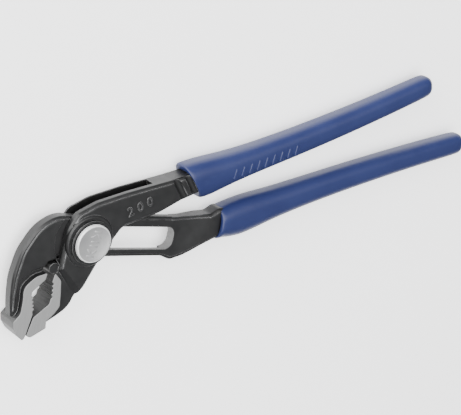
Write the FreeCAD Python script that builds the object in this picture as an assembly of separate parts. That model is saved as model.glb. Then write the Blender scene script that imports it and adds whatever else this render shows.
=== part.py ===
import FreeCAD, Part
import math
import os

# Tongue and groove pliers with a push-button box joint.
#
# Frame: the tool lies flat on its back.  The origin is on the pivot axis, on the
# resting plane, which the back of the pivot bolt's head or of the grips touches,
# whichever stands out further.  +X runs along the slot towards the handles,
# +Y points from the inner lever towards the outer lever's handle, and +Z points
# out of the front, through the push button.  Sizes are in millimetres.
#
# The outer lever carries the long upper handle, the two cheeks of the box joint
# and the lower jaw.  The inner lever carries the lower handle, the slotted tongue
# that lies between the cheeks, and the hooked upper jaw.

Vector = FreeCAD.Vector

# Thickness stack, from the middle plane outwards
cheek_thickness = 2.5       # each of the outer lever's two cheeks
tongue_thickness = 3.8      # the inner lever's slotted tongue
tongue_gap = 0.1            # free space on each side of the tongue
hook_thickness = 4.8        # web of the inner lever's hooked jaw
jaw_web_thickness = 6.4     # web of the outer lever's jaw
jaw_face_thickness = 8.4    # ground gripping faces of both jaws
neck_thickness = 6.4        # inner lever between the slot and its grip

# Pivot, slot and lock
slot_width = 8.0            # across the slot
slot_length = 42.3          # end to end
slot_play = 1.4             # slot left behind the bolt in the closed position
slot_corner = 3.0           # radius of the slot's handle-end corners
tooth_pitch = 1.35          # rack and pawl
tooth_count = 23            # teeth cut in the rack
tooth_depth = 0.9
rack_lip = 1.0              # smooth guide edge in front of the rack
rack_teeth_thickness = 1.3  # depth of the toothed zone behind the guide edge
rail_width = 3.5            # steel left above the slot
lower_rail_width = 2.6      # steel left below the slot
running_clearance = 0.05    # radial, on every turning or sliding fit
bolt_shoulder = 0.6         # bolt shank beyond each side of the slot
bolt_head_rim = 1.9         # bolt head beyond the shank
bolt_head_thickness = 0.7
bolt_head_chamfer = 0.3
bolt_groove_depth = 0.4     # groove for the retaining ring
ring_thickness = 0.7
button_radius = 6.5
button_thickness = 1.2
button_chamfer = 0.7
button_stand = 2.3          # button face above the boss rim
button_travel = 1.4
button_clearance = 0.2      # between the button and its bezel
bezel_wall = 0.75
bezel_stand = 0.8           # bezel above the boss rim
ring_clearance = 0.25       # between the retaining ring and the wall of the recess
boss_wall = 1.45            # boss outside the recess
boss_height = 0.7           # boss above the front cheek
boss_chamfer = 0.45
boss_recess_floor = 1.2     # cheek left under the boss's recess
stem_radius = 1.5
spring_wire = 0.5
spring_radius = 2.45        # to the middle of the wire
spring_turns = 5
pawl_width = 5.2            # along the slot
opening_angle = 40.0        # degrees that the levers open from the closed position

# Grips, dipped over the handle cores
grip_thickness = 10.4       # at the open end, and so the widest part of the tool
outer_grip_length = 112.4   # along the handle
inner_grip_length = 119.6
handle_core_width = 5.6
handle_core_thickness = 4.4

# Heights of the layers: the two halves are from the middle plane, and the middle
# plane is above the resting plane
half_gap = tongue_thickness / 2 + tongue_gap
half_cheeks = half_gap + cheek_thickness
middle = max(half_cheeks + bolt_head_thickness, grip_thickness / 2)

# Radii that follow from the slot and the button
bolt_radius = slot_width / 2 + bolt_shoulder
slot_behind_pivot = bolt_radius + slot_play
bolt_head_radius = bolt_radius + bolt_head_rim
recess_radius = button_radius + button_clearance + bezel_wall
ring_radius = recess_radius - ring_clearance
boss_radius = recess_radius + boss_wall
tongue_radius = boss_radius + 2.9   # the hook's web steps down to the tongue inside it

# Edges of the rails above and below the slot
rail_top = slot_width / 2 + rail_width
rail_bottom = -slot_width / 2 - lower_rail_width

far = 60.0                  # reach of a cutter that passes right through the tool


def corner_arc(before, corner, after, radius):
    """Start, middle and end of the arc that rounds a corner, as large as its runs allow."""
    to_before = before.sub(corner)
    to_after = after.sub(corner)
    room = 0.48 * min(to_before.Length, to_after.Length)
    to_before.normalize()
    to_after.normalize()
    half_angle = to_before.getAngle(to_after) / 2
    reach = min(radius / math.tan(half_angle), room)
    radius = reach * math.tan(half_angle)
    bisector = to_before.add(to_after)
    bisector.normalize()
    centre = corner.add(bisector * (radius / math.sin(half_angle)))
    start = corner.add(to_before * reach)
    end = corner.add(to_after * reach)
    middle_point = centre.sub(bisector * radius)
    return start, middle_point, end


def outline(corners, height=0.0):
    """Closed wire through (x, y, radius) corners; a corner with a radius is rounded."""
    points = [Vector(x, y, height) for x, y, radius in corners]
    edges = []
    first = None
    last = None
    for index, (x, y, radius) in enumerate(corners):
        if radius > 0:
            before = points[index - 1]
            after = points[(index + 1) % len(points)]
            start, centre, end = corner_arc(before, points[index], after, radius)
        else:
            start = points[index]
            end = points[index]
        if last is not None and start.distanceToPoint(last) > 1e-6:
            edges.append(Part.LineSegment(last, start).toShape())
        if radius > 0:
            edges.append(Part.Arc(start, centre, end).toShape())
        if first is None:
            first = start
        last = end
    if last.distanceToPoint(first) > 1e-6:
        edges.append(Part.LineSegment(last, first).toShape())
    return Part.Wire(edges)


def slab(corners, low, high):
    """Flat plate with the given outline between two heights from the middle plane."""
    wire = outline(corners, middle + low)
    return Part.Face(wire).extrude(Vector(0, 0, high - low))


def inset(corners, distance):
    """The same outline moved inwards by a distance, with its arcs kept concentric."""
    count = len(corners)
    area = 0.0
    for index in range(count):
        x, y = corners[index - 1][:2]
        next_x, next_y = corners[index][:2]
        area += x * next_y - next_x * y
    turn_side = math.copysign(1.0, area)
    moved = []
    for index in range(count):
        x, y, radius = corners[index]
        before = corners[index - 1]
        after = corners[(index + 1) % count]
        in_length = math.hypot(x - before[0], y - before[1])
        out_length = math.hypot(after[0] - x, after[1] - y)
        in_x = (x - before[0]) / in_length
        in_y = (y - before[1]) / in_length
        out_x = (after[0] - x) / out_length
        out_y = (after[1] - y) / out_length
        share = distance * turn_side / (1 + in_x * out_x + in_y * out_y)
        convex = turn_side * (in_x * out_y - in_y * out_x) > 0
        if radius > 0 and convex:
            radius = max(radius - distance, radius / 5)
        elif radius > 0:
            radius = radius + distance
        moved.append((x - share * (in_y + out_y), y + share * (in_x + out_x), radius))
    return moved


def bevelled_slab(corners, low, high, low_bevel, high_bevel):
    """Plate between two heights, with its lower and upper edges bevelled at 45 degrees."""
    body = slab(corners, low + low_bevel, high - high_bevel)
    rims = []
    for face, flat, bevel in ((low, low + low_bevel, low_bevel), (high, high - high_bevel, high_bevel)):
        outer = outline(corners, middle + flat)
        inner = outline(inset(corners, bevel), middle + face)
        rims.append(Part.makeLoft([outer, inner], True, True))
    return body.multiFuse(rims)


def even_slab(corners, half_thickness, bevel):
    """Plate centred on the middle plane, bevelled alike on both faces."""
    return bevelled_slab(corners, -half_thickness, half_thickness, bevel, bevel)


def disc(radius, low, high, x=0.0, y=0.0):
    return Part.makeCylinder(radius, high - low, Vector(x, y, middle + low), Vector(0, 0, 1))


def block(x_low, x_high, y_low, y_high, low, high):
    corner = Vector(x_low, y_low, middle + low)
    return Part.makeBox(x_high - x_low, y_high - y_low, high - low, corner)


def chamfer_top(shape, size, height):
    """Chamfer the edges of a shape that lie at a height from the middle plane."""
    edges = [edge for edge in shape.Edges if edge.BoundBox.ZMin > middle + height - 0.001]
    return shape.makeChamfer(size, edges)


def save(name, shape):
    shape = shape.removeSplitter()
    shape.exportStep("parts/" + name + ".step")


# Forged borders: a lever's raised face stands a step above a border round its edge
border_step = 0.35
border_bevel = 0.6
face_bevel = 0.2            # edge of a raised face
cheek_border = 1.0
rail_border = 1.0
rail_bevel = 0.4            # the thinner rails have finer edges
rail_face_bevel = 0.15
back_bevel = 1.9            # the back cheek's outer edge


# Outer lever ---------------------------------------------------------------
# Both faces of the box slope down to the jaw's web along a line square to this
# direction, which points from the pivot towards the lower jaw.
ramp_angle = math.radians(228.3)
ramp_start = 12.1           # distance from the pivot at the face of the cheeks
ramp_end = 14.3             # distance from the pivot at the face of the web

heel_centre = (-10.4, -9.9)  # rounded end of the box floor, beside the upper jaw
heel_radius = 1.9
box_floor = rail_bottom - 0.6       # floor of the room for the tongue
floor_end = -2.9                    # where the floor gives way to the slope
floor_slope = math.radians(opening_angle + 6.0)     # lets the opened tongue swing out
room_end = 31.0                     # handle end of the room for the tongue

# Grooves across the neck, square to the direction of this angle
neck_groove_angle = 42.0
neck_groove_radius = 1.5
neck_groove_rise = 0.6              # groove's axis above the face
neck_grooves = [(33.1, 17.8), (36.2, 20.6)]

cheek_corners = [
    (-8.8, -10.4, 0),
    (-8.8, 3.4, 5),
    (-6.5, 8.9, 4),
    (0.7, 12.9, 12),
    (11.7, 16.5, 40),
    (28.6, 21.2, 40),
    (38.0, 24.2, 0),
    (42.6, 18.0, 0),
    (34.6, 14.5, 8),
    (26.2, 9.7, 30),
    (12.4, 4.5, 4),
    (8.9, -1.4, 4),
    (6.1, -7.0, 0),
    (2.3, -16.4, 1.5),
    (1.0, -18.1, 0),
    (-0.4, -19.1, 0),
]

jaw_web_corners = [
    (-8.6, -8.5, 0),
    (-9.6, -11.6, 0),
    (-8.8, -14.0, 0),
    (-8.4, -20.4, 0),
    (-11.5, -25.0, 0),
    (-10.6, -28.9, 0),
    (-8.5, -28.9, 0.8),
    (-5.0, -26.6, 6),
    (-2.3, -24.5, 6),
    (-0.8, -22.3, 4),
    (-0.1, -19.9, 3),
    (1.5, -17.4, 2),
    (4.6, -9.8, 0),
]

lower_face_back = [
    (-10.2, -11.2, 0.3),
    (-7.3, -13.7, 2.5),
    (-6.4, -18.0, 12),
    (-5.6, -22.8, 2.5),
    (-7.2, -25.4, 2.5),
    (-9.6, -27.8, 0.5),
    (-9.2, -30.4, 0.5),
    (-14.4, -33.5, 1.2),
    (-16.1, -32.8, 0.4),
    (-14.9, -26.4, 0.6),
    (-9.9, -21.9, 1.2),
]
lower_teeth_start = (-9.8, -20.1)
lower_teeth_end = (-10.6, -14.2)

upper_face_back = [
    (-17.4, -17.5, 1.0),
    (-13.4, -13.3, 0.6),
    (-13.1, -11.0, 0.4),
    (-17.2, -12.3, 5),
    (-20.9, -16.0, 4),
    (-20.2, -20.6, 12),
    (-20.0, -25.0, 3),
    (-22.1, -27.9, 0.6),
    (-21.4, -30.4, 2),
    (-19.2, -33.0, 3),
    (-17.1, -34.5, 0.8),
    (-16.5, -33.1, 0.6),
    (-15.4, -25.4, 0.5),
]
upper_teeth_start = (-15.8, -24.2)
upper_teeth_end = (-17.3, -19.0)

jaw_tooth_depth = 0.6
jaw_tooth_count = 4


def saw_teeth(start, end, count, depth, side):
    """Corners of a row of teeth from start to end, cut to one side of the line."""
    step_x = (end[0] - start[0]) / count
    step_y = (end[1] - start[1]) / count
    length = math.hypot(step_x, step_y)
    across_x = -step_y / length * depth * side
    across_y = step_x / length * depth * side
    corners = []
    for tooth in range(count):
        x = start[0] + step_x * tooth
        y = start[1] + step_y * tooth
        corners.append((x, y, 0))
        corners.append((x + step_x * 0.3 + across_x, y + step_y * 0.3 + across_y, 0))
        corners.append((x + step_x * 0.6 + across_x, y + step_y * 0.6 + across_y, 0))
    corners.append((end[0], end[1], 0))
    return corners


def ramp_cutter(side):
    """Wedge that slopes one face of the box down to the jaw's web."""
    high = half_cheeks
    low = jaw_web_thickness / 2
    reach = 30.0
    rise = high - low
    profile = [
        (ramp_start, high),
        (ramp_end, low),
        (ramp_start + reach, low),
        (ramp_start + reach, high + rise),
        (ramp_start, high + rise),
    ]
    points = [Vector(distance, -reach, middle + side * height) for distance, height in profile]
    points.append(points[0])
    wedge = Part.Face(Part.makePolygon(points)).extrude(Vector(0, 2 * reach, 0))
    wedge.rotate(Vector(0, 0, 0), Vector(0, 0, 1), math.degrees(ramp_angle))
    return wedge


def neck_groove_cutters():
    """Bars that cut the grooves across both faces of the neck."""
    bar = Part.makeCylinder(neck_groove_radius, far, Vector(0, -far / 2, 0), Vector(0, 1, 0))
    bar.rotate(Vector(0, 0, 0), Vector(0, 0, 1), neck_groove_angle)
    cutters = []
    for x, y in neck_grooves:
        for side in (-1, 1):
            cutter = bar.copy()
            cutter.translate(Vector(x, y, middle + side * (half_cheeks + neck_groove_rise)))
            cutters.append(cutter)
    return cutters


def make_outer_lever():
    border = half_cheeks - border_step
    body = bevelled_slab(cheek_corners, -half_cheeks, border, back_bevel, border_bevel)
    raised = bevelled_slab(inset(cheek_corners, cheek_border), 0, half_cheeks, face_bevel, face_bevel)
    body = body.fuse(raised)
    for side in (-1, 1):
        body = body.cut(ramp_cutter(side))
    for cutter in neck_groove_cutters():
        body = body.cut(cutter)
    web = even_slab(jaw_web_corners, jaw_web_thickness / 2, border_bevel)
    heel = disc(heel_radius, -jaw_web_thickness / 2, jaw_web_thickness / 2, *heel_centre)
    teeth = saw_teeth(lower_teeth_start, lower_teeth_end, jaw_tooth_count, jaw_tooth_depth, -1)
    half_face = jaw_face_thickness / 2
    face = slab(lower_face_back + teeth, -half_face, half_face)
    boss_top = half_cheeks + boss_height
    boss = chamfer_top(disc(boss_radius, half_gap, boss_top), boss_chamfer, boss_top)
    core = handle_core(outer_start, outer_angles, outer_grip_length)
    body = body.multiFuse([web, heel, face, boss, core])
    # Room for the tongue, open at the top edge and at both lower edges of the cheeks
    slope_foot = floor_end + (far + box_floor) / math.tan(floor_slope)
    room_corners = [
        (-far, box_floor, 0),
        (-far, far, 0),
        (8.5, far, 0),
        (8.5, 40.0, 0),
        (28.0, 10.5, 0),
        (room_end, 6.0, 0),
        (room_end, -far, 0),
        (min(slope_foot, room_end - 1), -far, 0),
        (floor_end, box_floor, 0),
    ]
    body = body.cut(slab(room_corners, -half_gap, half_gap))
    body = body.cut(disc(bolt_radius + running_clearance, -half_cheeks - 1, boss_top + 1))
    return body.cut(disc(recess_radius, half_gap + boss_recess_floor, boss_top + 1))


# Handles -------------------------------------------------------------------
# Each handle follows one arc: where it starts, and its first and last direction.
outer_start = (38.3, 20.1)
outer_angles = (18.5, 25.0)
inner_start = (54.6, 4.7)
inner_angles = (20.0, 14.2)
core_lead = 4.0             # core that runs into the neck, ahead of the grip
core_end = 5.0              # grip beyond the end of the core


def along_handle(start, angles, length, distance):
    """Point and direction at a distance along a handle's arc."""
    first = math.radians(angles[0])
    last = math.radians(angles[1])
    bend = (last - first) / length
    angle = first + bend * distance
    x = start[0] + (math.sin(angle) - math.sin(first)) / bend
    y = start[1] - (math.cos(angle) - math.cos(first)) / bend
    return x, y, angle


def handle_core(start, angles, length):
    """Flat steel core of a handle, from inside the neck to near the grip's end."""
    half = handle_core_width / 2
    sides = []
    for side in (1, -1):
        arc = []
        for distance in (-core_lead, (length - core_lead - core_end) / 2, length - core_end):
            x, y, angle = along_handle(start, angles, length, distance)
            edge_x = x - side * half * math.sin(angle)
            edge_y = y + side * half * math.cos(angle)
            arc.append(Vector(edge_x, edge_y, middle - handle_core_thickness / 2))
        sides.append(arc)
    left, right = sides
    edges = [
        Part.Arc(left[0], left[1], left[2]).toShape(),
        Part.LineSegment(left[2], right[2]).toShape(),
        Part.Arc(right[2], right[1], right[0]).toShape(),
        Part.LineSegment(right[0], left[0]).toShape(),
    ]
    return Part.Face(Part.Wire(edges)).extrude(Vector(0, 0, handle_core_thickness))


def oval(x, y, direction, width, thickness):
    """Closed smooth oval across a handle; direction is that of its width."""
    points = []
    count = 24
    squareness = 2.0 / 2.5
    for index in range(count):
        turn = 2 * math.pi * index / count
        across = math.copysign(abs(math.cos(turn)) ** squareness, math.cos(turn)) * width / 2
        up = math.copysign(abs(math.sin(turn)) ** squareness, math.sin(turn)) * thickness / 2
        point_x = x + across * math.cos(direction)
        point_y = y + across * math.sin(direction)
        points.append(Vector(point_x, point_y, middle + up))
    curve = Part.BSplineCurve()
    curve.interpolate(Points=points, PeriodicFlag=True)
    return Part.Wire([curve.toShape()])


lip_radius = 1.2            # rounding of a grip's open end
tail_radius = 4.0           # rounding of its closed end


def make_grip(start, angles, length, stations, lever):
    """Dipped sleeve lofted through ovals at shares of the length, bored for its lever.

    A station gives its share, width, thickness, slant, and offset to the upper side.
    """
    sleeve_rows = []
    for share, width, thickness, slant, offset in stations:
        distance = share * (length - lip_radius - tail_radius) + lip_radius
        sleeve_rows.append((distance, width, thickness, slant, offset))
    first = sleeve_rows[0]
    last = sleeve_rows[-1]
    lip_rows = [first]
    for turn in (35, 70):
        back = lip_radius * math.sin(math.radians(turn))
        loss = 2 * lip_radius * (1 - math.cos(math.radians(turn)))
        lip_rows.append((first[0] - back, first[1] - loss, first[2] - loss, first[3], first[4]))
    tail_rows = [last]
    for turn in (20, 40, 60, 80):
        ahead = tail_radius * math.sin(math.radians(turn))
        shrink = math.cos(math.radians(turn))
        tail_rows.append((last[0] + ahead, last[1] * shrink, last[2] * shrink, 0, 0))
    pieces = []
    for rows in (sleeve_rows, lip_rows, tail_rows):
        sections = []
        for distance, width, thickness, slant, offset in rows:
            x, y, angle = along_handle(start, angles, length, distance)
            x -= offset * math.sin(angle)
            y += offset * math.cos(angle)
            sections.append(oval(x, y, angle + math.radians(90 + slant), width, thickness))
        pieces.append(Part.makeLoft(sections, True, False))
    return pieces[0].multiFuse(pieces[1:]).cut(lever)


outer_stations = [
    (0.00, 15.0, grip_thickness, 23, 0),
    (0.08, 13.3, grip_thickness - 0.2, 12, 0),
    (0.18, 11.0, grip_thickness - 0.6, 3, 0),
    (0.32, 10.0, grip_thickness - 1.2, 0, 0),
    (0.50, 9.4, grip_thickness - 1.6, 0, 0),
    (0.75, 8.8, grip_thickness - 2.0, 0, 0),
    (1.00, 8.2, grip_thickness - 2.6, 0, 0),
]
inner_stations = [
    (0.00, 11.6, grip_thickness - 0.2, -13, 0.7),
    (0.07, 13.6, grip_thickness - 0.35, -6, 0),
    (0.13, 12.9, grip_thickness - 0.5, -3, 0),
    (0.23, 11.0, grip_thickness - 1.0, 0, 0),
    (0.45, 9.8, grip_thickness - 1.6, 0, 0),
    (0.72, 9.0, grip_thickness - 2.0, 0, 0),
    (1.00, 8.4, grip_thickness - 2.6, 0, 0),
]


# Inner lever ---------------------------------------------------------------
slot_end = slot_length - slot_behind_pivot
neck_ramp_start = 38.4      # the neck thickens from the tongue's thickness here
neck_ramp_end = 50.0

inner_corners = [
    (-20.6, -27.4, 0),
    (-22.0, -26.8, 0.5),
    (-23.4, -21.5, 40),
    (-24.4, -13.5, 20),
    (-23.2, -4.8, 14),
    (-18.8, 3.6, 14),
    (-12.6, 7.5, 10),
    (-5.5, rail_top, 0),
    (36.0, rail_top, 40),
    (44.9, 8.6, 20),
    (50.0, 9.1, 3),
    (52.9, 11.1, 2),
    (59.0, 11.8, 0),
    (60.0, 2.6, 0),
    (56.1, 1.2, 0),
    (47.5, -3.0, 20),
    (41.8, -6.2, 4),
    (37.4, -7.9, 3),
    (33.0, rail_bottom, 4),
    (-9.8, rail_bottom - 0.2, 2),
    (-13.2, -8.0, 0.8),
    (-13.4, -12.0, 0),
    (-18.0, -14.0, 0),
    (-19.6, -18.0, 0),
    (-19.0, -25.0, 0),
]


hook_face_corners = [
    (-6.0, -5.8, 0),
    (-12.6, -7.9, 0.8),
    (-13.7, -9.9, 0.8),
    (-17.6, -11.0, 5),
    (-22.0, -14.6, 5),
    (-21.7, -20.5, 8),
    (-21.4, -24.8, 0.1),
    (-21.9, -24.8, 0.1),
    (-22.6, -19.8, 30),
    (-22.9, -13.0, 18),
    (-21.9, -4.9, 13),
    (-17.9, 3.0, 13),
    (-12.2, 6.5, 8),
    (-5.0, 6.5, 0),
]


def neck_cutter(side, drop):
    """Wedge that thins the neck down to the tongue towards the slot."""
    low = tongue_thickness / 2 - drop
    high = neck_thickness / 2 - drop
    profile = [
        (-far, low),
        (neck_ramp_start, low),
        (neck_ramp_end, high),
        (neck_ramp_end, high + neck_thickness),
        (-far, high + neck_thickness),
    ]
    points = [Vector(x, -far, middle + side * height) for x, height in profile]
    points.append(points[0])
    return Part.Face(Part.makePolygon(points)).extrude(Vector(0, 2 * far, 0))


def make_neck(corners, half_thickness, bevel, drop):
    """The lever from its slot to its grip, tapered down to the tongue's thickness."""
    neck = even_slab(corners, half_thickness, bevel)
    for side in (-1, 1):
        neck = neck.cut(neck_cutter(side, drop))
    return neck.common(block(neck_ramp_start - 4, 2 * far, -far, far, -far, far))


def rack_tooth(x, reach_low, reach_high, low, high, side):
    """One tooth whose base is at reach_low (side 1) or reach_high (side -1)."""
    base = tooth_pitch / 3
    tip = tooth_pitch / 9
    if side < 0:
        base, tip = tip, base
    corners = [
        (x - base, reach_low, 0),
        (x - tip, reach_high, 0),
        (x + tip, reach_high, 0),
        (x + base, reach_low, 0),
    ]
    return slab(corners, low, high)


tooth_set_back = 0.25       # tooth tips behind the guide edge
tooth_root = 0.2            # part of each tooth that runs into the body behind it
rack_tip = slot_width / 2 + tooth_set_back
rack_root = rack_tip + tooth_depth
rack_front = tongue_thickness / 2 - rack_lip
rack_back = rack_front - rack_teeth_thickness
rack_lead = 0.6             # rack's recess ahead of the pawl in the closed position
pawl_play = 0.05            # in front of and behind the pawl


def make_inner_lever():
    half_tongue = tongue_thickness / 2
    half_hook = hook_thickness / 2
    rail_face = inset(inner_corners, rail_border)
    tongue = even_slab(inner_corners, half_tongue - border_step, rail_bevel)
    tongue = tongue.fuse(even_slab(rail_face, half_tongue, rail_face_bevel))
    web = even_slab(inner_corners, half_hook - border_step, border_bevel)
    web = web.fuse(even_slab(hook_face_corners, half_hook, face_bevel))
    web = web.cut(disc(tongue_radius, -far, far))
    web = web.common(block(-far, 0, -far, far, -far, far))
    neck = make_neck(inner_corners, neck_thickness / 2 - border_step, border_bevel, border_step)
    neck = neck.fuse(make_neck(rail_face, neck_thickness / 2, face_bevel, 0))
    teeth = saw_teeth(upper_teeth_start, upper_teeth_end, jaw_tooth_count, jaw_tooth_depth, -1)
    half_face = jaw_face_thickness / 2
    face = slab(upper_face_back + teeth, -half_face, half_face)
    core = handle_core(inner_start, inner_angles, inner_grip_length)
    body = tongue.multiFuse([web, neck, face, core])
    half_slot = slot_width / 2
    slot_corners = [
        (-slot_behind_pivot, -half_slot, 0.95 * half_slot),
        (-slot_behind_pivot, half_slot, 0.95 * half_slot),
        (slot_end, half_slot, slot_corner),
        (slot_end, -half_slot, slot_corner),
    ]
    body = body.cut(slab(slot_corners, -far, far))
    rack_from = -pawl_width / 2 - rack_lead
    rack_to = slot_end - slot_corner
    body = body.cut(block(rack_from, rack_to, 0, rack_root, -half_tongue - 1, rack_front))
    body = body.cut(block(rack_from, rack_to, -half_slot - 1.0, 0, -half_tongue - 1, 0))
    rack = []
    for number in range(tooth_count):
        x = (number - 0.5) * tooth_pitch
        rack.append(rack_tooth(x, rack_tip, rack_root + tooth_root, rack_back, rack_front, -1))
    return body.multiFuse(rack)


# Pivot, lock and button ----------------------------------------------------
ring_low = half_gap + boss_recess_floor + running_clearance
ring_high = ring_low + ring_thickness
bolt_end = ring_high + 0.25
thread_depth = 0.6 * button_thickness
coil_play = 0.02            # at each end of the spring
button_top = half_cheeks + boss_height + button_stand
button_low = button_top - button_thickness
spring_pocket_radius = spring_radius + spring_wire / 2 + 0.3
spring_floor = rack_front + 0.6
pawl_high = rack_front - pawl_play
pawl_low = rack_back + pawl_play
pawl_back = -1.8            # where the pawl ends, away from the rack
thread_radius = 1.0         # stem ends, in the pawl and in the button
ring_fit = 0.02             # between the retaining ring and the bottom of its groove
bezel_lift = 0.15           # bezel clear of the end of the bolt


def make_pivot_bolt():
    head = disc(bolt_head_radius, -half_cheeks - bolt_head_thickness, -half_cheeks)
    back = middle - half_cheeks - bolt_head_thickness
    back_edges = [edge for edge in head.Edges if edge.BoundBox.ZMax < back + 0.001]
    head = head.makeChamfer(bolt_head_chamfer, back_edges)
    bolt = head.fuse(disc(bolt_radius, -half_cheeks, bolt_end))
    groove = disc(bolt_radius + 1, ring_low, ring_high)
    groove = groove.cut(disc(bolt_radius - bolt_groove_depth, ring_low, ring_high))
    bolt = bolt.cut(groove)
    # Two flats that guide the bolt along the slot
    flat = slot_width / 2 - running_clearance
    bolt = bolt.cut(block(-far, far, flat, far, -half_gap, half_gap))
    bolt = bolt.cut(block(-far, far, -far, -flat, -half_gap, half_gap))
    bolt = bolt.cut(disc(spring_pocket_radius, spring_floor, bolt_end + 1))
    bolt = bolt.cut(disc(stem_radius + running_clearance, 0, spring_floor + 1))
    half = pawl_width / 2 + running_clearance
    window_back = pawl_back - running_clearance
    window_low = pawl_low - button_travel - running_clearance
    return bolt.cut(block(-half, half, window_back, far, window_low, pawl_high + running_clearance))


def make_retaining_ring():
    bore = bolt_radius - bolt_groove_depth + ring_fit
    return disc(ring_radius, ring_low, ring_high).cut(disc(bore, ring_low - 1, ring_high + 1))


def make_bezel_ring():
    low = bolt_end + bezel_lift
    high = half_cheeks + boss_height + bezel_stand
    return disc(recess_radius, low, high).cut(disc(recess_radius - bezel_wall, low - 1, high + 1))


def make_push_button():
    cap = chamfer_top(disc(button_radius, button_low, button_top), button_chamfer, button_top)
    return cap.cut(disc(thread_radius, button_low - 1, button_low + thread_depth))


def make_button_stem():
    stem = disc(stem_radius, pawl_high, button_low)
    stem = stem.fuse(disc(thread_radius, pawl_low, pawl_high))
    return stem.fuse(disc(thread_radius, button_low, button_low + thread_depth))


def make_locking_pawl():
    tip = rack_root - 2 * running_clearance
    base = tip - tooth_depth
    half = pawl_width / 2
    pawl = block(-half, half, pawl_back, base, pawl_low, pawl_high)
    teeth = []
    for number in (-1, 0, 1):
        teeth.append(rack_tooth(number * tooth_pitch, base - tooth_root, tip, pawl_low, pawl_high, 1))
    return pawl.multiFuse(teeth).cut(disc(thread_radius, pawl_low - 1, pawl_high + 1))


def make_return_spring():
    low = spring_floor + spring_wire / 2 + coil_play
    high = button_low - spring_wire / 2 - coil_play
    pitch = (high - low) / spring_turns
    path = Part.makeHelix(pitch, high - low, spring_radius)
    path.translate(Vector(0, 0, middle + low))
    start = Vector(spring_radius, 0, middle + low)
    section = Part.Wire([Part.Circle(start, Vector(0, 1, 0), spring_wire / 2).toShape()])
    return Part.Wire(path.Edges).makePipeShell([section], True, True)


os.makedirs("parts", exist_ok=True)
outer_lever = make_outer_lever()
inner_lever = make_inner_lever()
save("outer_lever", outer_lever)
save("inner_lever", inner_lever)
save("outer_grip", make_grip(outer_start, outer_angles, outer_grip_length, outer_stations, outer_lever))
save("inner_grip", make_grip(inner_start, inner_angles, inner_grip_length, inner_stations, inner_lever))
save("pivot_bolt", make_pivot_bolt())
save("retaining_ring", make_retaining_ring())
save("bezel_ring", make_bezel_ring())
save("push_button", make_push_button())
save("button_stem", make_button_stem())
save("locking_pawl", make_locking_pawl())
save("return_spring", make_return_spring())
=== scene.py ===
import math
import bmesh
import bpy
from mathutils import Matrix, Vector


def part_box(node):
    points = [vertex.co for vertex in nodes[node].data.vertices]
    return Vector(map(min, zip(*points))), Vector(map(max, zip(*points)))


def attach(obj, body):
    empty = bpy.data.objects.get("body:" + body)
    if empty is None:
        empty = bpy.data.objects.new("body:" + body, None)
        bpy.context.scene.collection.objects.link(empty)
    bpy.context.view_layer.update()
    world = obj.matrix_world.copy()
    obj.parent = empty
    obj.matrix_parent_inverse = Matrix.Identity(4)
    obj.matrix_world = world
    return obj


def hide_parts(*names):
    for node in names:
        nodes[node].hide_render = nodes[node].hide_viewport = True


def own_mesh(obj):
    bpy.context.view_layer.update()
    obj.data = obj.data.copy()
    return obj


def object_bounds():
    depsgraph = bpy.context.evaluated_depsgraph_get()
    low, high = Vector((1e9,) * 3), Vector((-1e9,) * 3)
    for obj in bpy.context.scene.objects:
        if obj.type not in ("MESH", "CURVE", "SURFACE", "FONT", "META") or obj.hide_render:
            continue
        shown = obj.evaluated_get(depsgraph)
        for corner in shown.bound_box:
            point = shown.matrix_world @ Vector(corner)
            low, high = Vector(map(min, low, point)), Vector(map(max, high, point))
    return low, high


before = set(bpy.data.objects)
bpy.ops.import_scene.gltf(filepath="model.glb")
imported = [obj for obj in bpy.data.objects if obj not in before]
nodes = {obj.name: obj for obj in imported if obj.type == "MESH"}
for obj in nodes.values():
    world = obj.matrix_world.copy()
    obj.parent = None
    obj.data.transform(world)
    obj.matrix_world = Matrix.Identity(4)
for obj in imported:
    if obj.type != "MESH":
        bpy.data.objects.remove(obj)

cad_low, cad_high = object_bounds()
bpy.ops.object.select_all(action="DESELECT")

# ---- Levers ----------------------------------------------------------------
# Two drop-forged steel levers with every edge rounded over, dipped in a satin black
# finish.  The faces of the jaws are then ground bright, and the teeth are left as cut.


def group_tree(name, inputs, outputs):
    """An empty node group with named inputs (name, kind, value) and outputs (name, kind)."""
    tree = bpy.data.node_groups.new(name, "ShaderNodeTree")
    for label, kind, value in inputs:
        tree.interface.new_socket(name=label, in_out="INPUT", socket_type=kind).default_value = value
    for label, kind in outputs:
        tree.interface.new_socket(name=label, in_out="OUTPUT", socket_type=kind)
    return tree, tree.nodes.new("NodeGroupInput"), tree.nodes.new("NodeGroupOutput")


def feed(tree, socket, value):
    """Link an output to a socket, or set the socket's own value."""
    if isinstance(value, bpy.types.NodeSocket):
        tree.links.new(value, socket)
    elif isinstance(value, tuple) and len(value) == 3 and socket.type == "RGBA":
        socket.default_value = (*value, 1.0)
    else:
        socket.default_value = value


def sums(tree, operation, first, second, clamp=False):
    node = tree.nodes.new("ShaderNodeMath")
    node.operation = operation
    node.use_clamp = clamp
    feed(tree, node.inputs[0], first)
    feed(tree, node.inputs[1], second)
    return node.outputs["Value"]


def rise(tree, value, low, high):
    """0 below low, 1 above high, and straight between."""
    node = tree.nodes.new("ShaderNodeMapRange")
    node.inputs["From Min"].default_value = low
    node.inputs["From Max"].default_value = high
    tree.links.new(value, node.inputs["Value"])
    return node.outputs["Result"]


def noise(tree, vector, scale, detail=3.0, roughness=0.5):
    node = tree.nodes.new("ShaderNodeTexNoise")
    node.inputs["Scale"].default_value = scale
    node.inputs["Detail"].default_value = detail
    node.inputs["Roughness"].default_value = roughness
    tree.links.new(vector, node.inputs["Vector"])
    return node.outputs["Fac"]


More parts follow.
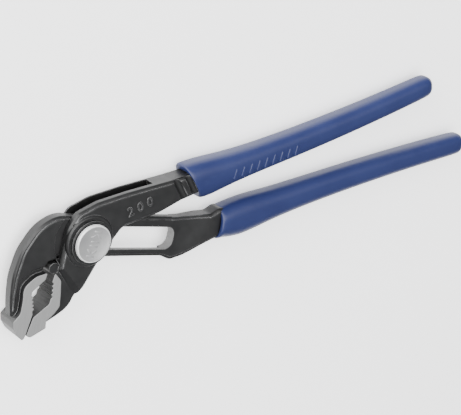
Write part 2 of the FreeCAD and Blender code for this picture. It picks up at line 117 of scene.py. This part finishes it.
def stretched(tree, vector, scale, turn=0.0):
    """The vector turned about Z and stretched, for marks that run one way."""
    node = tree.nodes.new("ShaderNodeMapping")
    node.inputs["Rotation"].default_value = (0, 0, math.radians(turn))
    node.inputs["Scale"].default_value = scale
    tree.links.new(vector, node.inputs["Vector"])
    return node.outputs["Vector"]


def blend(tree, factor, first, second, kind="RGBA"):
    node = tree.nodes.new("ShaderNodeMix")
    node.data_type = kind
    socket_type = "RGBA" if kind == "RGBA" else "VALUE"
    tree.links.new(factor, node.inputs["Factor"])
    for label, value in (("A", first), ("B", second)):
        feed(tree, [s for s in node.inputs if s.name == label and s.type == socket_type][0], value)
    return [s for s in node.outputs if s.type == socket_type][0]


# Rubbed edges with a painted highlight: where the rounded normal leans away from the flat one, broken up by
# noise, a mask that lightens the colour both as wear and as a painted edge highlight
worn_and_highlit_edges, wear_highlight_in, wear_highlight_out = group_tree(
    "worn_and_highlit_edges",
    [("Vector", "NodeSocketVector", (0, 0, 0)), ("Width", "NodeSocketFloat", 0.0003),
     ("Amount", "NodeSocketFloat", 1.0)],
    [("Mask", "NodeSocketFloat"), ("Normal", "NodeSocketVector")])
rounding = worn_and_highlit_edges.nodes.new("ShaderNodeBevel")
rounding.samples = 6
worn_and_highlit_edges.links.new(wear_highlight_in.outputs["Width"], rounding.inputs["Radius"])
flat_normal = worn_and_highlit_edges.nodes.new("ShaderNodeNewGeometry")
lean = worn_and_highlit_edges.nodes.new("ShaderNodeVectorMath")
lean.operation = "DOT_PRODUCT"
worn_and_highlit_edges.links.new(rounding.outputs["Normal"], lean.inputs[0])
worn_and_highlit_edges.links.new(flat_normal.outputs["Normal"], lean.inputs[1])
edge = rise(worn_and_highlit_edges, sums(worn_and_highlit_edges, "SUBTRACT", 1.0, lean.outputs["Value"]), 0.02, 0.14)
patches = rise(worn_and_highlit_edges, noise(worn_and_highlit_edges, wear_highlight_in.outputs["Vector"], 260.0, 4.0, 0.6), 0.26, 0.52)
edge = sums(worn_and_highlit_edges, "MULTIPLY", edge, patches)
edge = sums(worn_and_highlit_edges, "MULTIPLY", edge, wear_highlight_in.outputs["Amount"], True)
worn_and_highlit_edges.links.new(edge, wear_highlight_out.inputs["Mask"])
worn_and_highlit_edges.links.new(rounding.outputs["Normal"], wear_highlight_out.inputs["Normal"])

# Grain: fine even texture over larger, softer unevenness
fine_grain, grain_in, grain_out = group_tree(
    "fine_grain",
    [("Vector", "NodeSocketVector", (0, 0, 0)), ("Fine Scale", "NodeSocketFloat", 3000.0),
     ("Broad Scale", "NodeSocketFloat", 200.0)],
    [("Height", "NodeSocketFloat"), ("Tone", "NodeSocketFloat")])
fine = fine_grain.nodes.new("ShaderNodeTexNoise")
fine.inputs["Detail"].default_value = 2.0
broad = fine_grain.nodes.new("ShaderNodeTexNoise")
broad.inputs["Detail"].default_value = 4.0
for texture, label in ((fine, "Fine Scale"), (broad, "Broad Scale")):
    fine_grain.links.new(grain_in.outputs["Vector"], texture.inputs["Vector"])
    fine_grain.links.new(grain_in.outputs[label], texture.inputs["Scale"])
height = sums(fine_grain, "ADD", sums(fine_grain, "MULTIPLY", fine.outputs["Fac"], 0.45),
              sums(fine_grain, "MULTIPLY", broad.outputs["Fac"], 0.55))
fine_grain.links.new(height, grain_out.inputs["Height"])
fine_grain.links.new(rise(fine_grain, broad.outputs["Fac"], 0.3, 0.7), grain_out.inputs["Tone"])


def new_finish(name):
    """A material with its shader and object coordinates ready."""
    finish = bpy.data.materials.new(name)
    finish.use_nodes = True
    tree = finish.node_tree
    tree.nodes.clear()
    output = tree.nodes.new("ShaderNodeOutputMaterial")
    shader = tree.nodes.new("ShaderNodeBsdfPrincipled")
    tree.links.new(shader.outputs["BSDF"], output.inputs["Surface"])
    return finish, tree, shader, tree.nodes.new("ShaderNodeTexCoord")


def effect(tree, group, vector, **values):
    node = tree.nodes.new("ShaderNodeGroup")
    node.node_tree = group
    tree.links.new(vector, node.inputs["Vector"])
    for label, value in values.items():
        node.inputs[label.replace("_", " ")].default_value = value
    return node.outputs


def raise_grain(tree, shader, height, depth, normal=None):
    node = tree.nodes.new("ShaderNodeBump")
    node.inputs["Distance"].default_value = depth
    node.inputs["Strength"].default_value = 0.7
    tree.links.new(height, node.inputs["Height"])
    if normal is not None:
        tree.links.new(normal, node.inputs["Normal"])
    tree.links.new(node.outputs["Normal"], shader.inputs["Normal"])


lever_low, lever_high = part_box("inner_lever")
mid_height = (lever_low.z + lever_high.z) / 2
jaw_direction = (-0.665, -0.747)        # from the pivot towards the jaws
jaw_start = 0.0145                      # from the pivot to where the ground faces begin
ground_height = 0.00412                 # ground faces are further than this from the middle plane
nose_start = -0.0268                    # both noses are bare below this
slot_reach = 0.0041                     # the slot's walls are within this of the pivot's line
slot_begin = -0.0072                    # and between these along the slot
slot_end = 0.0365


def forged_finish(name, teeth_face, slotted):
    """Black forging with ground jaw faces, teeth that face one way, and perhaps a bare slot."""
    finish, tree, shader, place = new_finish(name)
    where = place.outputs["Object"]
    edge_wear_and_highlight = effect(tree, worn_and_highlit_edges, where, Width=0.0003, Amount=1.0)
    grain = effect(tree, fine_grain, where, Fine_Scale=2600.0, Broad_Scale=330.0)
    split = tree.nodes.new("ShaderNodeSeparateXYZ")
    tree.links.new(where, split.inputs["Vector"])
    facing = tree.nodes.new("ShaderNodeVectorMath")
    facing.operation = "DOT_PRODUCT"
    facing.inputs[1].default_value = teeth_face
    tree.links.new(place.outputs["Normal"], facing.inputs[0])

    # Where the steel is bare: the ground faces, then the teeth and noses between them
    along = sums(tree, "ADD", sums(tree, "MULTIPLY", split.outputs["X"], jaw_direction[0]),
                 sums(tree, "MULTIPLY", split.outputs["Y"], jaw_direction[1]))
    in_jaw = sums(tree, "GREATER_THAN", along, jaw_start)
    off_middle = sums(tree, "ABSOLUTE", sums(tree, "SUBTRACT", split.outputs["Z"], mid_height), 0.0)
    ground = sums(tree, "MULTIPLY", sums(tree, "GREATER_THAN", off_middle, ground_height), in_jaw)
    teeth = sums(tree, "MULTIPLY", sums(tree, "GREATER_THAN", facing.outputs["Value"], 0.3), in_jaw)
    nose = sums(tree, "LESS_THAN", split.outputs["Y"], nose_start)
    cut = sums(tree, "MULTIPLY", sums(tree, "MAXIMUM", teeth, nose), sums(tree, "SUBTRACT", 1.0, ground))
    if slotted:
        in_height = sums(tree, "LESS_THAN", sums(tree, "ABSOLUTE", split.outputs["Y"], 0.0), slot_reach)
        in_length = sums(tree, "MULTIPLY", sums(tree, "LESS_THAN", split.outputs["X"], slot_end),
                         sums(tree, "GREATER_THAN", split.outputs["X"], slot_begin))
        turned = tree.nodes.new("ShaderNodeSeparateXYZ")
        tree.links.new(place.outputs["Normal"], turned.inputs["Vector"])
        upright = sums(tree, "LESS_THAN", sums(tree, "ABSOLUTE", turned.outputs["Z"], 0.0), 0.5)
        slot_wall = sums(tree, "MULTIPLY", sums(tree, "MULTIPLY", in_height, in_length), upright)

    # Black finish, mottled, and lighter along the edges, partly as rubbed wear and partly as a painted
    # highlight
    black = blend(tree, grain["Tone"], (0.0034, 0.0034, 0.0036), (0.0050, 0.0050, 0.0052))
    black = blend(tree, edge_wear_and_highlight["Mask"], black, (0.26, 0.26, 0.262))
    black_rough = blend(tree, grain["Tone"], 0.40, 0.47, "FLOAT")

    # Grinding marks run along the jaws, and the cutter's marks run through the teeth
    grinding = noise(tree, stretched(tree, where, (6000.0, 260.0, 600.0), 12.0), 1.0, 3.0, 0.6)
    bright = blend(tree, grinding, (0.18, 0.18, 0.18), (0.27, 0.27, 0.267))
    cutting = noise(tree, stretched(tree, where, (900.0, 900.0, 90.0)), 1.0, 3.0, 0.6)
    dull = blend(tree, cutting, (0.018, 0.018, 0.018), (0.085, 0.085, 0.084))

    colour = blend(tree, ground, blend(tree, cut, black, dull), bright)
    if slotted:
        machined = blend(tree, cutting, (0.095, 0.095, 0.095), (0.165, 0.165, 0.163))
        colour = blend(tree, slot_wall, colour, machined)
    rough = blend(tree, cut, black_rough, 0.42, "FLOAT")
    rough = blend(tree, ground, rough, blend(tree, grinding, 0.42, 0.55, "FLOAT"), "FLOAT")
    bare = sums(tree, "ADD", sums(tree, "MULTIPLY", cut, 0.6), sums(tree, "MULTIPLY", ground, 0.3), True)
    tree.links.new(colour, shader.inputs["Base Color"])
    tree.links.new(rough, shader.inputs["Roughness"])
    tree.links.new(bare, shader.inputs["Metallic"])
    height = blend(tree, ground, blend(tree, cut, grain["Height"], cutting, "FLOAT"), grinding, "FLOAT")
    raise_grain(tree, shader, height, 0.00002, edge_wear_and_highlight["Normal"])
    return finish


def round_over(node_name, piece_name, width):
    """A copy of a steel part with its sharp edges rounded, which stands for the part."""
    source = nodes[node_name]
    piece = bpy.data.objects.new(piece_name, source.data.copy())
    bpy.context.scene.collection.objects.link(piece)
    piece.matrix_world = source.matrix_world.copy()
    bpy.ops.object.select_all(action="DESELECT")
    piece.select_set(True)
    bpy.context.view_layer.objects.active = piece
    bpy.ops.object.transform_apply(location=True, rotation=True, scale=True)
    bpy.ops.object.mode_set(mode="EDIT")
    bpy.ops.mesh.select_all(action="SELECT")
    bpy.ops.mesh.remove_doubles(threshold=0.000002)
    bpy.ops.mesh.dissolve_limited(angle_limit=math.radians(0.6))
    bpy.ops.object.mode_set(mode="OBJECT")
    edge_round = piece.modifiers.new("edge_round", "BEVEL")
    edge_round.limit_method = "ANGLE"
    edge_round.angle_limit = math.radians(24)
    edge_round.width = width
    edge_round.segments = 2
    edge_round.use_clamp_overlap = False
    edge_round.miter_outer = "MITER_ARC"
    bpy.ops.object.modifier_apply(modifier="edge_round")
    bpy.ops.object.shade_smooth_by_angle(angle=math.radians(20))
    flat_faces = piece.modifiers.new("flat_faces", "WEIGHTED_NORMAL")
    flat_faces.keep_sharp = True
    bpy.ops.object.modifier_apply(modifier="flat_faces")
    bpy.ops.object.select_all(action="DESELECT")
    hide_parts(node_name)
    return piece


forged_outer = round_over("outer_lever", "forged_outer_lever", 0.00013)
forged_outer.data.materials.clear()
forged_outer.data.materials.append(forged_finish("outer_lever_finish", (-0.92, 0.39, 0.0), False))
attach(forged_outer, "outer")
forged_inner = round_over("inner_lever", "forged_inner_lever", 0.00013)
forged_inner.data.materials.clear()
forged_inner.data.materials.append(forged_finish("inner_lever_finish", (0.95, -0.30, 0.0), True))
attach(forged_inner, "inner")

# ---- Size mark -------------------------------------------------------------
# The nominal length in millimetres, forged in low raised figures on the front cheek
# between the pivot and the neck, and blackened with the lever.
mark_place = (0.01264, 0.00962, mid_height + 0.0045)
mark_turn = math.radians(27.0)
bpy.ops.object.text_add(location=(0, 0, 0))
size_mark = bpy.context.active_object
size_mark.name = "size_mark"
size_mark.data.body = "200"
size_mark.data.align_y = "CENTER"
size_mark.data.size = 0.0048
size_mark.data.space_character = 1.62
size_mark.data.extrude = 0.00022
size_mark.data.offset = 0.00004
size_mark.data.bevel_depth = 0.00004
size_mark.data.bevel_resolution = 0
size_mark.data.resolution_u = 6
bpy.ops.object.convert(target="MESH")
size_mark.matrix_world = Matrix.Translation(mark_place) @ Matrix.Rotation(mark_turn, 4, "Z")
bpy.ops.object.transform_apply(location=True, rotation=True, scale=True)
size_mark.data.materials.clear()
size_mark.data.materials.append(bpy.data.materials["outer_lever_finish"])
bpy.ops.object.select_all(action="DESELECT")
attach(size_mark, "outer")

# ---- Grips -----------------------------------------------------------------
# Thick blue vinyl sleeves that the handles are dipped into, so each follows its handle's
# long curve, ends in a rounded rim around the neck, and is closed and round at the tail.


def grip_ring(start, angles, length, row):
    """Centre, turn, width and thickness of one ring of a grip (metres, radians)."""
    distance, width, thickness, slant, offset = row
    first, last = math.radians(angles[0]), math.radians(angles[1])
    bend = (last - first) / length
    angle = first + bend * distance
    x = start[0] + (math.sin(angle) - math.sin(first)) / bend
    y = start[1] - (math.cos(angle) - math.cos(first)) / bend
    x -= offset * math.sin(angle)
    y += offset * math.cos(angle)
    turn = angle + math.radians(90 + slant)
    return Vector((x, y, mid_height * 1000)) / 1000, turn, width / 1000, thickness / 1000


def dipped_grip(name, start, angles, length, rows):
    """A sleeve drawn out ring by ring from inside its open end to its closed tail."""
    rings = [grip_ring(start, angles, length, row) for row in rows]
    centre, turn, width, thickness = rings[0]
    bpy.ops.mesh.primitive_plane_add(size=1, location=centre, rotation=(math.pi / 2, 0, turn))
    grip = bpy.context.active_object
    grip.name = name
    grip.scale = (width, thickness, 1)
    bpy.ops.object.transform_apply(location=True, rotation=True, scale=True)
    bpy.ops.object.mode_set(mode="EDIT")
    bpy.ops.mesh.select_all(action="SELECT")
    # Round the four corners of the section while it is still square
    bpy.ops.transform.rotate(value=turn, orient_axis="Z", center_override=centre)
    bpy.ops.transform.resize(value=(1 / width, 1, 1 / thickness), center_override=centre)
    bpy.ops.mesh.bevel(offset=0.40, offset_type="OFFSET", segments=7, affect="VERTICES", profile=0.5)
    bpy.ops.transform.resize(value=(width, 1, thickness), center_override=centre)
    bpy.ops.transform.rotate(value=-turn, orient_axis="Z", center_override=centre)
    bpy.ops.mesh.select_mode(type="FACE")
    bpy.ops.mesh.select_all(action="SELECT")
    for next_centre, next_turn, next_width, next_thickness in rings[1:]:
        bpy.ops.mesh.extrude_region_move()
        bpy.ops.transform.translate(value=next_centre - centre)
        bpy.ops.transform.rotate(value=turn, orient_axis="Z", center_override=next_centre)
        bpy.ops.transform.resize(value=(next_width / width, 1, next_thickness / thickness),
                                 center_override=next_centre)
        bpy.ops.transform.rotate(value=-next_turn, orient_axis="Z", center_override=next_centre)
        centre, turn, width, thickness = next_centre, next_turn, next_width, next_thickness
    bpy.ops.mesh.select_all(action="SELECT")
    bpy.ops.mesh.normals_make_consistent(inside=False)
    bpy.ops.object.mode_set(mode="OBJECT")
    smooth = grip.modifiers.new("smooth", "SUBSURF")
    smooth.levels = 2
    smooth.render_levels = 2
    bpy.ops.object.modifier_apply(modifier="smooth")
    bpy.ops.object.shade_smooth()
    bpy.ops.object.select_all(action="DESELECT")
    return grip


def sleeve_rows(length, mouth, lip, stations, tail_width, tail_thickness):
    """Rings from the mouth (width, thickness), over the lip, along the sleeve and round its tail."""
    lip_width, lip_thickness, slant, offset = lip
    rows = [(2.4, mouth[0], mouth[1], slant, offset), (0.4, mouth[0], mouth[1], slant, offset)]
    for distance, share in ((-0.15, 0.10), (-0.15, 0.72), (0.15, 0.90), (0.9, 0.985), (2.0, 1.0)):
        width = mouth[0] + (lip_width - mouth[0]) * share
        thickness = mouth[1] + (lip_thickness - mouth[1]) * share
        rows.append((distance, width, thickness, slant, offset))
    rows += stations
    for turn in (0, 22, 44, 64, 80):
        ahead = length - 4.0 + 4.0 * math.sin(math.radians(turn))
        shrink = math.cos(math.radians(turn))
        rows.append((ahead, tail_width * shrink, tail_thickness * shrink, 0, 0))
    return rows


outer_start = (38.3, 20.1)
outer_length = 112.4
outer_rows = sleeve_rows(outer_length, (8.4, 9.5), (15.0, 10.35, 23, 0), [
    (5.0, 14.6, 10.3, 18, 0),
    (9.5, 13.3, 10.15, 12, 0),
    (14.5, 12.0, 9.95, 6, 0),
    (20.5, 11.0, 9.75, 3, 0),
    (28.0, 10.35, 9.5, 1, 0),
    (36.0, 10.0, 9.2, 0, 0),
    (46.0, 9.7, 9.0, 0, 0),
    (57.0, 9.45, 8.8, 0, 0),
    (70.0, 9.1, 8.6, 0, 0),
    (83.0, 8.8, 8.4, 0, 0),
    (97.0, 8.5, 8.1, 0, 0),
], 8.25, 7.85)
outer_sleeve = dipped_grip("outer_dipped_grip", outer_start, (18.5, 25.0), outer_length, outer_rows)

inner_length = 119.6
inner_rows = sleeve_rows(inner_length, (9.4, 6.9), (11.6, 10.2, -13, 0.7), [
    (5.0, 12.75, 10.2, -10, 0.35),
    (9.0, 13.5, 10.1, -6, 0),
    (13.0, 13.4, 10.0, -4, 0),
    (18.0, 12.6, 9.8, -2, 0),
    (24.0, 11.5, 9.5, 0, 0),
    (32.0, 10.7, 9.25, 0, 0),
    (42.0, 10.15, 9.0, 0, 0),
    (53.0, 9.8, 8.8, 0, 0),
    (67.0, 9.4, 8.6, 0, 0),
    (83.0, 9.0, 8.4, 0, 0),
    (100.0, 8.7, 8.1, 0, 0),
], 8.45, 7.85)
inner_sleeve = dipped_grip("inner_dipped_grip", (54.6, 4.7), (20.0, 14.2), inner_length, inner_rows)

# Slanted bars moulded on the front of the upper grip, for the thumb
bars = []
for number in range(9):
    centre, turn, width, thickness = grip_ring(outer_start, (18.5, 25.0), outer_length,
                                               (17.0 + 3.4 * number, 0, 9.8 - 0.09 * number, 0, 0))
    handle_turn = turn - math.pi / 2
    across = Vector((-math.sin(handle_turn), math.cos(handle_turn), 0))
    place = centre - across * 0.0013 + Vector((0, 0, thickness / 2 - 0.00028))
    bar_turn = (math.radians(8), 0, handle_turn + 1.15)
    bpy.ops.mesh.primitive_cube_add(size=1, location=place, rotation=bar_turn)
    bar = bpy.context.active_object
    bar.scale = (0.0040, 0.0019, 0.00075)
    bpy.ops.object.transform_apply(location=True, rotation=True, scale=True)
    bpy.ops.object.mode_set(mode="EDIT")
    bpy.ops.mesh.select_all(action="SELECT")
    bpy.ops.mesh.bevel(offset=0.00038, offset_type="OFFSET", segments=3, affect="EDGES")
    bpy.ops.object.mode_set(mode="OBJECT")
    bars.append(bar)
bpy.ops.object.select_all(action="DESELECT")
for bar in bars:
    bar.select_set(True)
bpy.context.view_layer.objects.active = bars[0]
bpy.ops.object.join()
grip_bars = bpy.context.active_object
grip_bars.name = "grip_bars"
bpy.ops.object.shade_smooth_by_angle(angle=math.radians(40))
bpy.ops.object.select_all(action="DESELECT")

vinyl, tree, shader, place = new_finish("blue_vinyl")
where = place.outputs["Object"]
grain = effect(tree, fine_grain, where, Fine_Scale=1900.0, Broad_Scale=70.0)
scuff_noise = noise(tree, stretched(tree, where, (300.0, 900.0, 900.0), 20.0), 1.0, 5.0, 0.65)
scuffs = rise(tree, scuff_noise, 0.62, 0.8)
blue = blend(tree, grain["Tone"], (0.0070, 0.0130, 0.068), (0.0090, 0.0165, 0.080))
blue = blend(tree, sums(tree, "MULTIPLY", scuffs, 0.5), blue, (0.018, 0.030, 0.105))
tree.links.new(blue, shader.inputs["Base Color"])
tree.links.new(blend(tree, scuffs, blend(tree, grain["Tone"], 0.40, 0.47, "FLOAT"), 0.56, "FLOAT"),
               shader.inputs["Roughness"])
shader.inputs["Specular IOR Level"].default_value = 0.5
raise_grain(tree, shader, grain["Height"], 0.00003)
for piece, body, node_name in ((outer_sleeve, "outer", "outer_grip"), (inner_sleeve, "inner", "inner_grip")):
    piece.data.materials.append(vinyl)
    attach(piece, body)
    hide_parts(node_name)
grip_bars.data.materials.clear()
grip_bars.data.materials.append(vinyl)
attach(grip_bars, "outer")

# ---- Push button -----------------------------------------------------------
# A turned steel cap, satin plated, with a chamfer painted bright all round as a highlight, round a shallow
# sunk face and a raised pattern of bars and chevrons that shows where to push.
button_low, button_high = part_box("push_button")
button_radius = (button_high.x - button_low.x) / 2
button_depth = button_high.z - button_low.z
bpy.ops.mesh.primitive_cylinder_add(vertices=96, radius=button_radius, depth=button_depth,
                                    location=(0, 0, (button_low.z + button_high.z) / 2))
cap = bpy.context.active_object
cap.name = "button_cap"
bpy.ops.object.transform_apply(location=True, rotation=True, scale=True)
bpy.ops.object.mode_set(mode="EDIT")
bpy.ops.mesh.select_mode(type="FACE")
bpy.ops.mesh.select_all(action="DESELECT")
cap_mesh = bmesh.from_edit_mesh(cap.data)
for face in cap_mesh.faces:
    face.select_set(face.normal.z > 0.9)
bmesh.update_edit_mesh(cap.data)
bpy.ops.mesh.inset(thickness=0.00068)
bpy.ops.mesh.inset(thickness=0.00020)
bpy.ops.transform.translate(value=(0, 0, -0.00010))
cap_mesh = bmesh.from_edit_mesh(cap.data)
for face in cap_mesh.faces:
    face.select_set(False)
for edge_line in cap_mesh.edges:
    ends = [v.co for v in edge_line.verts]
    at_top = all(v.z > button_high.z - 0.00001 for v in ends)
    at_rim = all(v.to_2d().length > button_radius - 0.00005 for v in ends)
    edge_line.select_set(at_top and at_rim)
bmesh.update_edit_mesh(cap.data)
bpy.ops.mesh.select_mode(type="EDGE")
bpy.ops.mesh.bevel(offset=0.00050, offset_type="OFFSET", segments=3, affect="EDGES", profile=0.5)
bpy.ops.object.mode_set(mode="OBJECT")
bpy.ops.object.shade_smooth_by_angle(angle=math.radians(28))
bpy.ops.object.select_all(action="DESELECT")

# Chevrons and bars, standing a little above the sunk face
marks = []
sink = 0.00018              # from the button's top down to the middle of the marks
face_height = button_high.z - sink
mark_direction = math.radians(82)
for offset, length, lean_angle in ((-0.0042, 0.0030, 0.0), (-0.0027, 0.0024, 0.6), (-0.0027, 0.0024, -0.6),
                                   (-0.0007, 0.0034, 0.0), (0.0007, 0.0034, 0.0),
                                   (0.0027, 0.0024, -0.6), (0.0027, 0.0024, 0.6), (0.0042, 0.0030, 0.0)):
    side = 0.0 if lean_angle == 0.0 else math.copysign(0.00095, lean_angle * offset)
    run = Vector((math.cos(mark_direction), math.sin(mark_direction), 0)) * offset
    cross = Vector((-math.sin(mark_direction), math.cos(mark_direction), 0)) * side
    bpy.ops.mesh.primitive_cube_add(size=1, location=run + cross + Vector((0, 0, face_height)),
                                    rotation=(0, 0, mark_direction + math.pi / 2 + lean_angle))
    mark = bpy.context.active_object
    mark.scale = (length, 0.0006, 0.00026)
    bpy.ops.object.transform_apply(location=True, rotation=True, scale=True)
    bpy.ops.object.mode_set(mode="EDIT")
    bpy.ops.mesh.select_all(action="SELECT")
    bpy.ops.mesh.bevel(offset=0.00010, offset_type="OFFSET", segments=2, affect="EDGES")
    bpy.ops.object.mode_set(mode="OBJECT")
    marks.append(mark)
bpy.ops.object.select_all(action="DESELECT")
for mark in marks:
    mark.select_set(True)
bpy.context.view_layer.objects.active = marks[0]
bpy.ops.object.join()
push_marks = bpy.context.active_object
push_marks.name = "push_marks"
bpy.ops.object.shade_smooth_by_angle(angle=math.radians(40))
bpy.ops.object.select_all(action="DESELECT")

plated, tree, shader, place = new_finish("satin_plate")
where = place.outputs["Object"]
edge_wear_and_highlight = effect(tree, worn_and_highlit_edges, where, Width=0.00018, Amount=0.8)
grain = effect(tree, fine_grain, where, Fine_Scale=4200.0, Broad_Scale=420.0)
brushing = noise(tree, stretched(tree, where, (4200.0, 180.0, 400.0), 35.0), 1.0, 3.0, 0.6)
nickel = blend(tree, grain["Tone"], (0.27, 0.27, 0.273), (0.32, 0.32, 0.32))
nickel = blend(tree, sums(tree, "MULTIPLY", brushing, 0.35), nickel, (0.46, 0.46, 0.46))
from_axis = tree.nodes.new("ShaderNodeVectorMath")
from_axis.operation = "LENGTH"
tree.links.new(stretched(tree, where, (1, 1, 0)), from_axis.inputs[0])
# Painted highlight: the chamfer ring is painted near white, and the edges lighter still, as wear and as
# painted highlight
chamfer = rise(tree, from_axis.outputs["Value"], button_radius - 0.00056, button_radius - 0.00044)
nickel = blend(tree, chamfer, nickel, (0.72, 0.72, 0.72))
nickel = blend(tree, edge_wear_and_highlight["Mask"], nickel, (0.85, 0.85, 0.85))
tree.links.new(nickel, shader.inputs["Base Color"])
tree.links.new(blend(tree, brushing, 0.33, 0.46, "FLOAT"), shader.inputs["Roughness"])
shader.inputs["Metallic"].default_value = 0.45
raise_grain(tree, shader, sums(tree, "ADD", grain["Height"], brushing), 0.00001, edge_wear_and_highlight["Normal"])
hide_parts("push_button")
for piece in (cap, push_marks):
    piece.data.materials.clear()
    piece.data.materials.append(plated)
    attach(piece, "button")

# ---- Pivot bolt, ring, bezel and lock --------------------------------------
# Turned and hardened steel pieces that run in the box joint, blackened and oiled.
oiled, tree, shader, place = new_finish("oiled_steel")
where = place.outputs["Object"]
edge_wear_and_highlight = effect(tree, worn_and_highlit_edges, where, Width=0.00018, Amount=0.9)
grain = effect(tree, fine_grain, where, Fine_Scale=3200.0, Broad_Scale=380.0)
dark = blend(tree, grain["Tone"], (0.010, 0.010, 0.0105), (0.020, 0.020, 0.0205))
# Edges lighter: rubbed wear together with a painted highlight
dark = blend(tree, edge_wear_and_highlight["Mask"], dark, (0.22, 0.22, 0.22))
tree.links.new(dark, shader.inputs["Base Color"])
tree.links.new(blend(tree, grain["Tone"], 0.28, 0.38, "FLOAT"), shader.inputs["Roughness"])
shader.inputs["Metallic"].default_value = 0.3
raise_grain(tree, shader, grain["Height"], 0.000012, edge_wear_and_highlight["Normal"])
for name in ("pivot_bolt", "retaining_ring", "bezel_ring", "button_stem", "locking_pawl"):
    nodes[name].data.materials.clear()
    nodes[name].data.materials.append(oiled)

# ---- Return spring ---------------------------------------------------------
# Round spring wire, wound in five turns and left with the bright drawn surface.  The
# coil sits in its seat in the bolt and would shorten as the button goes in; here it is copied at rest and
# rides with the pivot.
wire, tree, shader, place = new_finish("spring_wire")
where = place.outputs["Object"]
grain = effect(tree, fine_grain, where, Fine_Scale=5200.0, Broad_Scale=900.0)
drawn = blend(tree, grain["Tone"], (0.30, 0.30, 0.31), (0.45, 0.45, 0.46))
tree.links.new(drawn, shader.inputs["Base Color"])
tree.links.new(blend(tree, grain["Tone"], 0.25, 0.38, "FLOAT"), shader.inputs["Roughness"])
shader.inputs["Metallic"].default_value = 0.9
raise_grain(tree, shader, grain["Height"], 0.000006)

coil_source = nodes["return_spring"]
coil = bpy.data.objects.new("return_coil", coil_source.data.copy())
bpy.context.scene.collection.objects.link(coil)
coil.matrix_world = coil_source.matrix_world.copy()
coil.select_set(True)
bpy.context.view_layer.objects.active = coil
bpy.ops.object.transform_apply(location=True, rotation=True, scale=True)
bpy.ops.object.select_all(action="DESELECT")
coil.data.materials.clear()
coil.data.materials.append(wire)
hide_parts("return_spring")
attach(coil, "pivot")
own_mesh(coil)

# ---- Floor, light and camera -----------------------------------------------
# A plain pale floor that gives off a little light, under a wide overhead softbox, with
# a narrower softbox beyond the jaws.
floor_gap = 0.0006
bpy.ops.mesh.primitive_plane_add(size=6.0, location=(0, 0, cad_low.z - floor_gap))
floor = bpy.context.active_object
floor.name = "floor"
pale, tree, shader, place = new_finish("pale_floor")
floor_tone = noise(tree, place.outputs["Object"], 3.0)
floor_colour = blend(tree, floor_tone, (0.93, 0.93, 0.93), (0.95, 0.95, 0.95))
tree.links.new(floor_colour, shader.inputs["Base Color"])
shader.inputs["Roughness"].default_value = 0.9
shader.inputs["Specular IOR Level"].default_value = 0.2
shader.inputs["Emission Color"].default_value = (1.0, 1.0, 1.0, 1.0)
shader.inputs["Emission Strength"].default_value = 0.9
floor.data.materials.append(pale)

world = bpy.data.worlds.new("studio")
bpy.context.scene.world = world
world.use_nodes = True
world.node_tree.nodes["Background"].inputs["Color"].default_value = (0.94, 0.97, 1.0, 1.0)
world.node_tree.nodes["Background"].inputs["Strength"].default_value = 0.42


def softbox(name, place, size, power):
    data = bpy.data.lights.new(name, "AREA")
    data.shape = "SQUARE"
    data.size = size
    data.energy = power
    light = bpy.data.objects.new(name, data)
    bpy.context.scene.collection.objects.link(light)
    aim = Vector((0.06, 0.01, 0.0)) - Vector(place)
    light.matrix_world = Matrix.Translation(Vector(place)) @ aim.to_track_quat("-Z", "Y").to_matrix().to_4x4()


softbox("overhead", (-0.25, 0.15, 1.25), 1.5, 42.0)
softbox("beyond_jaws", (-0.75, 0.45, 0.30), 0.7, 14.0)

camera_data = bpy.data.cameras.new("studio_camera")
camera_data.lens = 120.0
camera_data.sensor_width = 36.0
camera = bpy.data.objects.new("studio_camera", camera_data)
bpy.context.scene.collection.objects.link(camera)
camera_right = Vector((0.7569, 0.2364, 0.6092)).normalized()
camera_back = Vector((-0.6533, 0.2548, 0.7128)).normalized()
camera_up = camera_back.cross(camera_right).normalized()
camera_turn = Matrix((camera_right, camera_up, camera_back)).transposed()
camera_place = Vector((-0.28875, 0.14680, 0.38071 + mid_height))
camera.matrix_world = Matrix.Translation(camera_place) @ camera_turn.to_4x4()
bpy.context.scene.camera = camera
